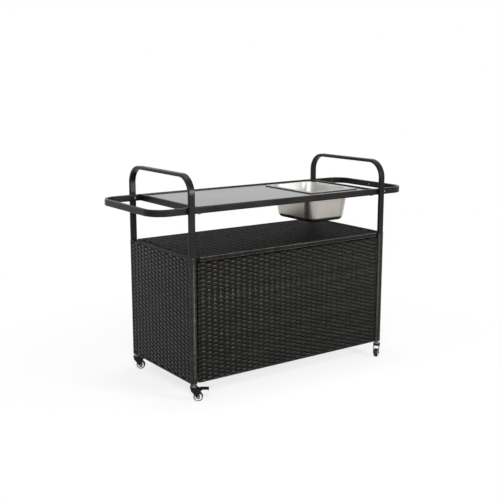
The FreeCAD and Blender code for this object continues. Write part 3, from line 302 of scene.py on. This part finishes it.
def winding(
    bundle,
    start,
    direction,
    width_axis,
    width,
    depth,
    length,
    pitch,
    radius,
    groove=BAR_GROOVE,
    low_turns=0.0,
    wear_and_highlight=FACE_PAINTED_LIGHT,
):
    """A bar wound with a strip: each turn is a little ridge that slants across the bar's faces.

    Every second turn lies lower by low_turns, where strips of the weave go round the bar by turns.
    The corners are painted as bright as the faces when set to the faces' level, and painted pale, as a
    highlight, when set to 1; the grooves between turns are painted darker, as shade.
    """
    direction = np.array(direction, float)
    width_axis = np.array(width_axis, float)
    depth_axis = np.cross(direction, width_axis)
    turns = max(2, round(length / pitch))
    pitch = length / turns
    per_turn = len(TURN_STATIONS)
    stations = (np.arange(turns)[:, None] + TURN_STATIONS[None, :]).reshape(-1) * pitch
    stations = np.concatenate(([0.0], stations, [length]))
    sinks = np.concatenate(([groove], np.tile(TURN_SINKS * groove, turns), [groove]))
    lowered = np.repeat(np.arange(turns) % 2 * low_turns, per_turn)
    lowered = np.concatenate(([low_turns], lowered, [low_turns]))
    turn_of = np.concatenate(([0], np.repeat(np.arange(1, turns + 1), per_turn), [turns + 1]))
    section = round_section(width, depth, radius)
    inward = section / np.abs(section).max(axis=0)
    slant = (section[:, 0] / width) * pitch * TURN_SLANT
    wobble = bundle.random.uniform(-TURN_WOBBLE, TURN_WOBBLE, turns + 2)[turn_of]
    from_end = np.clip(np.minimum(stations, length - stations) / pitch, 0.0, 1.0)
    s = stations[:, None] + slant[None, :] * from_end[:, None]
    sunk = sinks + lowered + wobble * (sinks == 0.0)
    reach = section[None, :, :] - inward[None, :, :] * sunk[:, None, None]
    points = (
        np.array(start, float)
        + s[:, :, None] * direction
        + reach[:, :, 0:1] * width_axis
        + reach[:, :, 1:2] * depth_axis
    ) * MM
    tints = bundle.random.uniform(*WOUND_TINTS, turns + 2)[turn_of][None, :, None]
    girth = np.linspace(0.0, 2 * (width + depth), len(section))
    alongs = spread(girth[None, None, :], (stations % pitch)[None, :, None], turn_of[None, :, None])
    # Painted shade in the grooves between turns, where the crown is low, and painted light on faces and
    # corners at their levels
    ridge = np.clip(1.0 - (sinks + lowered) / groove, 0.0, 1.0)[None, :, None]
    painted_light_levels = np.tile((FACE_PAINTED_LIGHT, wear_and_highlight, FACE_PAINTED_LIGHT), 4)[None, None, :]
    bundle.sweep(points[None], tints, ridge * painted_light_levels, alongs * MM)


def border(bundle, corner, along, across, outward, length, height, depth):
    """Four wound bars round the edge of a panel; the corner is on the panel's outer face."""
    corner, along, across, outward = (np.array(item, float) for item in (corner, along, across, outward))
    sunk = corner - outward * depth / 2
    turns = {"pitch": BORDER_PITCH, "radius": BAR_RADIUS, "groove": BORDER_GROOVE}
    for side, wear_and_highlight in zip((BORDER / 2, height - BORDER / 2), BORDER_PAINTED_LIGHT[:2]):
        start = sunk + across * side
        winding(bundle, start, along, across, BORDER, depth, length, wear_and_highlight=wear_and_highlight, **turns)
    for side, wear_and_highlight in zip((BORDER / 2, length - BORDER / 2), BORDER_PAINTED_LIGHT[2:]):
        start = sunk + along * side + across * BORDER
        winding(bundle, start, across, along, BORDER, depth, height - 2 * BORDER, wear_and_highlight=wear_and_highlight, **turns)


def binding(bundle, face, length):
    """A flat strip along the foot of a weave, so that its edge is straight."""
    stations = np.linspace(0.0, length, BINDING_STATIONS)
    across = STRIP_SECTION[None, :, 0] * BINDING_HALF
    points = face.point(
        stations[:, None],
        across + BINDING_HALF,
        STRIP_SECTION[None, :, 1] * BINDING_THIN - BINDING_THIN,
    )
    alongs = spread(stations[:, None], across, 0.0)
    bundle.sweep(points[None], BINDING_TINT, BINDING_CROWN, alongs[None] * MM)


def upright_panel(bundle, corner, along, outward, length, height, depth):
    """A panel woven from foot to head: wound bars behind the weave, and strips round its two ends."""
    corner, along, outward, up = (np.array(item, float) for item in (corner, along, outward, UP))
    back = depth - WEAVE_DEPTH
    behind = corner - outward * (depth - back / 2)
    for side in (BORDER / 2, height - BORDER / 2):
        start = behind + up * side
        winding(bundle, start, along, up, BORDER, back, length, pitch=BACK_BAR_PITCH, radius=BAR_RADIUS)
    sunk = corner - outward * depth / 2
    row = height / row_count(height)
    turns = {"pitch": row, "radius": END_RADIUS, "groove": END_GROOVE, "low_turns": END_LOW_TURNS}
    for side in (BORDER / 2, length - BORDER / 2):
        winding(bundle, sunk + along * side, up, along, BORDER, depth, height, **turns)
    field = Face(corner + along * BORDER, along, up, outward)
    weave(bundle, field, length - 2 * BORDER, height, WEAVE_DEPTH)
    binding(bundle, field, length - 2 * BORDER)


def cap_strips(bundle, low, high, outer, side):
    """Flat strips side by side over the top of a side panel, behind its weave."""
    width = high[0] - low[0]
    inner = outer - side * width
    pitch = (width - SIDE_DEPTH) / CAP_STRIPS
    section = STRIP_SECTION * np.array((pitch * CAP_SHARE, CAP_THIN))
    stations = np.linspace(low[1], high[1], CAP_STATIONS)
    for index in range(CAP_STRIPS):
        centre = inner + side * pitch * (index + 0.5)
        height = high[2] - CAP_DROP + section[None, :, 1]
        points = spread(centre - section[None, :, 0], stations[:, None], height)
        alongs = spread(stations[:, None], section[None, :, 0], 0.0)
        tint = CAP_TINT + CAP_TINT_STEP * index
        bundle.sweep(points[None] * MM, tint, CAP_CROWN, alongs[None] * MM)


# Nodes of a material

MIX_A, MIX_B, MIX_RESULT = 6, 7, 2  # sockets of a Mix node that is set to colours
NOISE_LOW, NOISE_HIGH = 0.3, 0.7  # where most values of a noise texture lie


def shader(name, **inputs):
    """A new material with its surface shader; plain values go straight on the shader's sockets."""
    material = bpy.data.materials.new(name)
    material.use_nodes = True
    tree = material.node_tree
    surface = tree.nodes["Principled BSDF"]
    for socket, value in inputs.items():
        surface.inputs[socket.replace("_", " ")].default_value = value
    return material, tree, surface


def add(tree, kind, **settings):
    """A new node with its settings; a setting that names an input socket sets that input."""
    created = tree.nodes.new(kind)
    for key, value in settings.items():
        if hasattr(created, key):
            setattr(created, key, value)
        else:
            created.inputs[key.replace("_", " ")].default_value = value
    return created


def link(tree, source, output, target, entry):
    tree.links.new(source.outputs[output], target.inputs[entry])


def ramped(tree, source, stops, output="Fac"):
    """A colour ramp over a node's output, from position and colour pairs; gives its colour socket."""
    created = tree.nodes.new("ShaderNodeValToRGB")
    elements = created.color_ramp.elements
    while len(elements) < len(stops):
        elements.new(0.5)
    for element, (position, colour) in zip(elements, stops):
        element.position = position
        element.color = (*colour, 1.0)
    link(tree, source, output, created, "Fac")
    return created.outputs["Color"]


def mixed(tree, first, second, **settings):
    """Two colour sockets in one Mix node; gives its result socket."""
    mix = add(tree, "ShaderNodeMix", data_type="RGBA", **settings)
    tree.links.new(first, mix.inputs[MIX_A])
    tree.links.new(second, mix.inputs[MIX_B])
    return mix.outputs[MIX_RESULT]


def noise(tree, scale, detail, stretch=None, source=None):
    """Noise in the object's own metres, or over another coordinate."""
    texture = add(tree, "ShaderNodeTexNoise", Scale=scale, Detail=detail)
    if source is None:
        source = (add(tree, "ShaderNodeTexCoord"), "Object")
    if stretch is not None:
        mapping = add(tree, "ShaderNodeMapping", Scale=stretch)
        link(tree, *source, mapping, "Vector")
        source = (mapping, "Vector")
    link(tree, *source, texture, "Vector")
    return texture


def map_range(tree, source, output, low, high, from_low=0.0, from_high=1.0):
    """A node's output, carried from one range of values to another."""
    mapped = add(
        tree, "ShaderNodeMapRange", From_Min=from_low, From_Max=from_high, To_Min=low, To_Max=high
    )
    link(tree, source, output, mapped, "Value")
    return mapped


def coloured(tree, surface, texture, dark, light, start=NOISE_LOW):
    """A base colour that goes from dark to light with a noise texture."""
    shades = ramped(tree, texture, ((start, dark), (NOISE_HIGH, light)))
    tree.links.new(shades, surface.inputs["Base Color"])


def varied(tree, texture, rough):
    """A roughness between two values that follows a noise texture."""
    return map_range(tree, texture, "Fac", *rough, from_low=NOISE_LOW, from_high=NOISE_HIGH)


def glossed(tree, surface, texture, rough):
    link(tree, varied(tree, texture, rough), "Result", surface, "Roughness")


def bump(tree, surface, texture, strength, distance):
    raised = add(tree, "ShaderNodeBump", Strength=strength, Distance=distance)
    link(tree, texture, "Fac", raised, "Height")
    link(tree, raised, "Normal", surface, "Normal")


# Materials

STRIP_SHADES = (
    (0.0, (0.0085, 0.0080, 0.0071)),
    (0.4, (0.0128, 0.0119, 0.0105)),
    (0.7, (0.0165, 0.0153, 0.0134)),
    (1.0, (0.0270, 0.0250, 0.0221)),
)
STRIP_STREAKS = ((0.30, (0.45, 0.45, 0.45)), (0.62, (1.25, 1.25, 1.25)))
STRIP_PATCHES = ((0.35, (0.72, 0.72, 0.72)), (0.65, (1.15, 1.14, 1.12)))
# Painted shade and highlight over the crown: darker where a strip lies back, paler where it stands out
STRIP_PAINTED_SHADE_AND_HIGHLIGHT = ((0.1, (0.4, 0.4, 0.4)), (0.5, (0.95, 0.95, 0.95)), (0.8, (1.3, 1.3, 1.29)))
POLISH_PLACES = (0.25, 0.7, 1.0)


def wicker_material(name, shade, painted_highlight, speculars, rough):
    """Dark resin strip: each strip has its own shade, with fine lengthwise grain and a satin face.

    Its colour is painted darker as shade where the crown is low and paler as a highlight where it is high,
    palest at a crown of 1; it is shinier with the crown, and dulled by dust where it faces up.
    """
    material, tree, surface = shader(name)
    labels = ("tint", "crown", "along")
    tint, crown, along = (add(tree, "ShaderNodeAttribute", attribute_name=label) for label in labels)
    grain = noise(tree, scale=260.0, detail=4.0, stretch=(0.12, 9.0, 1.0), source=(along, "Vector"))
    mottle = noise(tree, scale=14.0, detail=2.0)
    shades = [(place, tuple(shade * part for part in colour)) for place, colour in STRIP_SHADES]
    colour = ramped(tree, tint, shades)
    layers = (
        (grain, STRIP_STREAKS, 0.55),
        (mottle, STRIP_PATCHES, 0.5),
        # painted shade in recesses, painted highlight on crowns and pale corners
        (crown, (*STRIP_PAINTED_SHADE_AND_HIGHLIGHT, (1.0, painted_highlight)), 1.0),
    )
    for source, stops, share in layers:
        colour = mixed(tree, colour, ramped(tree, source, stops), blend_type="MULTIPLY", Factor=share)
    tree.links.new(colour, surface.inputs["Base Color"])
    polish = ramped(tree, crown, [(place, (level,) * 3) for place, level in zip(POLISH_PLACES, speculars)])
    upward = add(tree, "ShaderNodeSeparateXYZ")
    link(tree, add(tree, "ShaderNodeTexCoord"), "Normal", upward, "Vector")
    dust = map_range(tree, upward, "Z", low=1.0, high=0.1, from_low=0.5, from_high=0.95)
    dulled = add(tree, "ShaderNodeMath", operation="MULTIPLY")
    tree.links.new(polish, dulled.inputs[0])
    link(tree, dust, "Result", dulled, 1)
    link(tree, dulled, "Value", surface, "Specular IOR Level")
    glossed(tree, surface, grain, rough)
    bump(tree, surface, grain, strength=0.25, distance=0.0003)
    return material


def painted_metal(name, dark, light, rough, specular):
    """Powder coat: a fine orange-peel surface with faint dust and scuffed patches."""
    material, tree, surface = shader(name, Specular_IOR_Level=specular)
    patches = noise(tree, scale=9.0, detail=4.0)
    coloured(tree, surface, patches, dark, light, start=0.35)
    glossed(tree, surface, patches, rough)
    peel = noise(tree, scale=900.0, detail=2.0)
    bump(tree, surface, peel, strength=0.05, distance=0.0002)
    return material


def zinc_material():
    """Zinc plate with a drawn grain and a slightly uneven polish."""
    material, tree, surface = shader("zinc_plate", Metallic=1.0)
    grain = noise(tree, scale=300.0, detail=3.0, stretch=(1.0, 1.0, 0.2))
    cloud = noise(tree, scale=12.0, detail=3.0)
    coloured(tree, surface, cloud, dark=(0.18, 0.18, 0.19), light=(0.27, 0.27, 0.27))
    glossed(tree, surface, grain, rough=(0.34, 0.52))
    bump(tree, surface, grain, strength=0.10, distance=0.0001)
    return material


def plastic(name, dark, light, rough, scale, skin_bump, specular=0.45):
    """Moulded plastic or rubber with a fine skin."""
    material, tree, surface = shader(name, Specular_IOR_Level=specular)
    skin = noise(tree, scale, detail=3.0)
    coloured(tree, surface, skin, dark, light)
    glossed(tree, surface, skin, rough)
    bump(tree, surface, skin, strength=skin_bump, distance=0.0002)
    return material


def screw_material():
    """Zinc screws: plain zinc on the right handle, and near black on the left one."""
    material, tree, surface = shader("screw_zinc", Metallic=1.0)
    place = add(tree, "ShaderNodeSeparateXYZ")
    link(tree, add(tree, "ShaderNodeTexCoord"), "Object", place, "Vector")
    on_right = map_range(tree, place, "X", low=0.0, high=1.0, from_low=-0.1, from_high=0.1)
    shades = ramped(tree, on_right, ((0.0, (0.008, 0.008, 0.008)), (1.0, (0.25, 0.25, 0.25))), output="Result")
    tree.links.new(shades, surface.inputs["Base Color"])
    wear_and_highlight = noise(tree, scale=300.0, detail=3.0)
    glossed(tree, surface, wear_and_highlight, rough=(0.34, 0.52))
    return material


def glass_material():
    """Grey tempered glass: dark through its body, with faint smears on its satin face."""
    material, tree, surface = shader(
        "grey_glass", IOR=1.52, Transmission_Weight=0.12, Specular_IOR_Level=0.28
    )
    smears = noise(tree, scale=5.0, detail=5.0, stretch=(1.0, 2.4, 1.0))
    coloured(tree, surface, smears, dark=(0.026, 0.027, 0.028), light=(0.036, 0.037, 0.038))
    glossed(tree, surface, smears, rough=(0.10, 0.16))
    return material


def pan_material():
    """Pressed stainless steel, brushed; the outside is painted a warmer, slightly darker grey than the
    inside, as the reflection of its surroundings, and the basin's inside is less smooth.
    """
    material, tree, surface = shader("pan_steel", Metallic=1.0)
    low, high = (Vector(corner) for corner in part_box("pan"))
    place = add(tree, "ShaderNodeTexCoord")
    radial = add(tree, "ShaderNodeVectorMath", operation="SUBTRACT")
    radial.inputs[1].default_value = (low + high) / 2
    link(tree, place, "Object", radial, 0)
    facing = add(tree, "ShaderNodeVectorMath", operation="DOT_PRODUCT")
    link(tree, radial, "Vector", facing, 0)
    link(tree, place, "Normal", facing, 1)
    inside = map_range(tree, facing, "Value", low=1.0, high=0.0, from_low=-0.02, from_high=0.02)
    grain = noise(tree, scale=420.0, detail=3.0, stretch=(0.05, 0.05, 1.0))
    cloud = noise(tree, scale=12.0, detail=3.0)
    # One steel inside and out: the outside's warmer, darker grey is a painted reflection of its
    # surroundings
    outer = ramped(tree, cloud, ((NOISE_LOW, (0.384, 0.355, 0.324)), (NOISE_HIGH, (0.437, 0.408, 0.376))))
    inner = ramped(tree, cloud, ((NOISE_LOW, (0.38, 0.378, 0.368)), (NOISE_HIGH, (0.43, 0.428, 0.417))))
    shade = mixed(tree, outer, inner)
    link(tree, inside, "Result", shade.node, "Factor")
    tree.links.new(shade, surface.inputs["Base Color"])
    blasted = add(tree, "ShaderNodeMath", operation="MULTIPLY_ADD")
    link(tree, inside, "Result", blasted, 0)
    blasted.inputs[1].default_value = 0.15
    link(tree, varied(tree, grain, rough=(0.26, 0.36)), "Result", blasted, 2)
    link(tree, blasted, "Value", surface, "Roughness")
    bump(tree, surface, grain, strength=0.05, distance=0.0001)
    return material


# The strip, with a mild painted highlight on the bright corners of the posts and the floor's front bar
WICKER = wicker_material(
    "wicker_strip",
    shade=0.85,
    painted_highlight=(3.0, 2.96, 2.88),
    speculars=(0.08, 0.11, 0.14),
    rough=(0.16, 0.26),
)
# A darker copy of the strip for the cabinet's top, painted as the shade under the glass top, with a strong
# painted highlight for the bead line along its front edge
TOP_WICKER = wicker_material(
    "wicker_strip_shaded",
    shade=0.7,
    painted_highlight=(34.0, 35.0, 38.0),
    speculars=(0.0, 0.12, 0.40),
    rough=(0.25, 0.37),
)
SLOT_MATERIALS = {
    "frame_paint": painted_metal(
        "black_powder_coat",
        dark=(0.0045, 0.0045, 0.0045),
        light=(0.0075, 0.0075, 0.0073),
        rough=(0.26, 0.40),
        specular=0.13,
    ),
    "wicker": WICKER,
    "glass": glass_material(),
    "pan_steel": pan_material(),
    "trim_rubber": plastic(
        "black_rubber",
        dark=(0.008, 0.008, 0.008),
        light=(0.014, 0.014, 0.014),
        rough=(0.50, 0.70),
        scale=240.0,
        skin_bump=0.10,
    ),
    "zinc_steel": zinc_material(),
    "caster_black": painted_metal(
        "caster_enamel",
        dark=(0.004, 0.004, 0.004),
        light=(0.007, 0.007, 0.007),
        rough=(0.25, 0.38),
        specular=0.15,
    ),
    "wheel_hub": plastic(
        "hub_plastic",
        dark=(0.78, 0.78, 0.78),
        light=(0.86, 0.86, 0.855),
        rough=(0.18, 0.32),
        scale=60.0,
        skin_bump=0.03,
        specular=0.5,
    ),
    "tyre": plastic(
        "tyre_rubber",
        dark=(0.008, 0.008, 0.008),
        light=(0.013, 0.013, 0.0127),
        rough=(0.50, 0.70),
        scale=180.0,
        skin_bump=0.15,
        specular=0.2,
    ),
    "black_plastic": plastic(
        "black_plastic",
        dark=(0.008, 0.008, 0.008),
        light=(0.013, 0.013, 0.013),
        rough=(0.38, 0.55),
        scale=300.0,
        skin_bump=0.06,
    ),
}
for part in frame["record"]["subparts"]:
    obj = nodes[part["node"]]
    obj.data.materials.clear()
    obj.data.materials.append(SLOT_MATERIALS[part["material_slot"]])
nodes["handle_screws"].data.materials[0] = screw_material()


# Woven panels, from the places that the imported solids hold

def limits(name):
    """A node's lowest and highest corner in millimetres."""
    low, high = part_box(name)
    return np.array(low) / MM, np.array(high) / MM


def front_panel():
    low, high = limits("front_panel_wicker")
    width, depth, height = high - low
    bundle = Bundle(seed=11)
    upright_panel(bundle, low, RIGHT, FRONT, width, height, depth)
    bundle.finished("front_panel_weave", WICKER, "cart", "front_panel_wicker")


def level_panel(level, seed, material):
    """The cabinet's top or floor, with its strips from front to back over a closed layer."""
    low, high = limits(f"{level}_panel_wicker")
    width, length, depth = high - low
    bundle = Bundle(seed)
    border(bundle, (high[0], low[1], high[2]), BACK, LEFT, UP, length, width, depth)
    field = Face((high[0] - BORDER, low[1] + BORDER, high[2]), BACK, LEFT, UP)
    inner_length = length - 2 * BORDER
    inner_width = width - 2 * BORDER
    weave(bundle, field, inner_length, inner_width, WEAVE_DEPTH - UNDERLAY, LEVEL_FULLNESS)
    count = round(inner_length / STAKE_PITCH)
    half = inner_length / count / 2
    foot = UNDERLAY / 2 - WEAVE_DEPTH
    slats(bundle, field, inner_length, inner_width, count, half, UNDERLAY / 2, foot)
    bundle.finished(f"{level}_panel_weave", material, "cart", f"{level}_panel_wicker")


def side_panel(end, side, seed):
    """One end of the cabinet: a woven field between two wound edges, with flat strips over its top."""
    low, high = limits(f"{end}_side_wicker")
    length, height = (high - low)[1:]
    outer, first, along = (low[0], low[1], BACK) if side < 0 else (high[0], high[1], FRONT)
    bundle = Bundle(seed)
    turns = {"pitch": SIDE_EDGE_PITCH, "radius": SIDE_EDGE_RADIUS, "wear_and_highlight": SIDE_EDGE_PAINTED_LIGHT}
    for edge in (low[2] + BORDER / 2, high[2] - BORDER / 2):
        start = (outer - side * SIDE_DEPTH / 2, low[1], edge)
        winding(bundle, start, BACK, UP, BORDER, SIDE_DEPTH, length, **turns)
    field = Face((outer, first, low[2] + BORDER), along, UP, (side, 0, 0))
    weave(bundle, field, length, height - 2 * BORDER, SIDE_DEPTH)
    cap_strips(bundle, low, high, outer, side)
    bundle.finished(f"{end}_side_weave", WICKER, "cart", f"{end}_side_wicker")


def rear_door(end, seed):
    low, high = limits(f"{end}_door_wicker")
    width, depth, height = high - low
    bundle = Bundle(seed)
    upright_panel(bundle, (high[0], high[1], low[2]), LEFT, BACK, width, height, depth)
    bundle.finished(f"{end}_door_weave", WICKER, f"{end}_door", f"{end}_door_wicker")


def posts():
    low, high = limits("post_wraps")
    length = high[2] - low[2]
    bundle = Bundle(seed=81)
    turns = {"pitch": POST_PITCH, "radius": POST_RADIUS, "groove": POST_GROOVE, "wear_and_highlight": POST_PAINTED_LIGHT}
    for x in (low[0] + POST_WIDTH / 2, high[0] - POST_WIDTH / 2):
        for y in (low[1] + POST_DEPTH / 2, high[1] - POST_DEPTH / 2):
            winding(bundle, (x, y, low[2]), UP, RIGHT, POST_WIDTH, POST_DEPTH, length, **turns)
    bundle.finished("post_winding", WICKER, "cart", "post_wraps")


front_panel()
level_panel("top", 21, TOP_WICKER)
level_panel("floor", 31, WICKER)
side_panel("left", -1, 41)
side_panel("right", 1, 51)
rear_door("left", 61)
rear_door("right", 71)
posts()


# Floor, light and camera

WORLD_LIGHT = 0.14  # strength of the world's light on the object
FLOOR_REACH = 60.0
SHADOW_NEAR, SHADOW_FAR = 0.4, 1.5  # the floor fades to plain white between these distances
SHADOW_WHITE = 0.78  # share of plain white under the cart
CABINET = (-0.3, 0.0, 0.4)  # where the front lamps point
LAMPS = (
    # name, place, target, size, power
    ("key", (-1.9, -2.5, 2.2), CABINET, 1.0, 88.0),
    ("front", (1.6, -3.6, 1.5), CABINET, 0.8, 112.0),
    ("top", (0.3, 0.2, 3.6), (0.0, 0.0, 0.6), 1.0, 46.0),
    ("back", (-0.7, 3.1, 1.2), (0.0, 0.0, 0.4), 1.5, 26.0),
)
CAMERA_PLACE = (-2.2095, -3.0444, 1.2759)
CAMERA_YAW = 35.314
CAMERA_PITCH = 11.407
FOCAL_PIXELS, IMAGE_PIXELS = 867.34, 500.0
SENSOR_WIDTH = 36.0


def shown_rays(tree):
    """1 for what the camera, gloss and glass see, and 0 for the light that falls on the object."""
    path = add(tree, "ShaderNodeLightPath")
    seen = add(tree, "ShaderNodeMath", operation="MAXIMUM")
    link(tree, path, "Is Camera Ray", seen, 0)
    link(tree, path, "Is Glossy Ray", seen, 1)
    shown = add(tree, "ShaderNodeMath", operation="MAXIMUM")
    link(tree, seen, "Value", shown, 0)
    link(tree, path, "Is Transmission Ray", shown, 1)
    return shown


def world_light():
    """White all round for what the camera, gloss and glass see; much less for the light on the object."""
    world = bpy.data.worlds.new("studio")
    scene.world = world
    world.use_nodes = True
    tree = world.node_tree
    background = tree.nodes["Background"]
    strength = map_range(tree, shown_rays(tree), "Value", low=WORLD_LIGHT, high=1.0)
    link(tree, strength, "Result", background, "Strength")
    background.inputs["Color"].default_value = (1.0, 1.0, 1.0, 1.0)


def floor():
    """A wide pale floor that keeps the shadow near the cart and fades to plain white further out."""
    mesh = bpy.data.meshes.new("floor")
    corners = [(x * FLOOR_REACH, y * FLOOR_REACH, 0.0) for x, y in ((-1, -1), (1, -1), (1, 1), (-1, 1))]
    mesh.from_pydata(corners, [], [(0, 1, 2, 3)])
    obj = bpy.data.objects.new("floor", mesh)
    scene.collection.objects.link(obj)
    material, tree, surface = shader(
        "pale_floor", Base_Color=(0.92, 0.92, 0.92, 1.0), Roughness=0.9, Specular_IOR_Level=0.0
    )
    distance = add(tree, "ShaderNodeVectorMath", operation="LENGTH")
    link(tree, add(tree, "ShaderNodeTexCoord"), "Object", distance, 0)
    far = map_range(tree, distance, "Value", SHADOW_WHITE, 1.0, SHADOW_NEAR, SHADOW_FAR)
    far.interpolation_type = "SMOOTHSTEP"
    plain = add(tree, "ShaderNodeMath", operation="MULTIPLY")
    link(tree, shown_rays(tree), "Value", plain, 0)
    link(tree, far, "Result", plain, 1)
    white = add(tree, "ShaderNodeEmission", Strength=1.0)
    blended = add(tree, "ShaderNodeMixShader")
    link(tree, plain, "Value", blended, "Fac")
    link(tree, surface, "BSDF", blended, 1)
    link(tree, white, "Emission", blended, 2)
    link(tree, blended, "Shader", tree.nodes["Material Output"], "Surface")
    obj.data.materials.append(material)


def lamp(name, place, target, size, power):
    """A round soft lamp that points at a target."""
    data = bpy.data.lights.new(name, "AREA")
    data.shape = "DISK"
    data.size = size
    data.energy = power
    obj = bpy.data.objects.new(name, data)
    scene.collection.objects.link(obj)
    obj.location = place
    obj.rotation_euler = (Vector(target) - Vector(place)).to_track_quat("-Z", "Y").to_euler()


def camera():
    """The photograph's view: level from side to side, and looking slightly down."""
    data = bpy.data.cameras.new("camera")
    data.sensor_fit = "HORIZONTAL"
    data.sensor_width = SENSOR_WIDTH
    data.lens = FOCAL_PIXELS / IMAGE_PIXELS * SENSOR_WIDTH
    obj = bpy.data.objects.new("camera", data)
    scene.collection.objects.link(obj)
    obj.location = CAMERA_PLACE
    obj.rotation_euler = (math.radians(90.0 - CAMERA_PITCH), 0.0, math.radians(-CAMERA_YAW))
    scene.camera = obj


world_light()
floor()
for settings in LAMPS:
    lamp(*settings)
camera()
scene.view_settings.view_transform = "Standard"
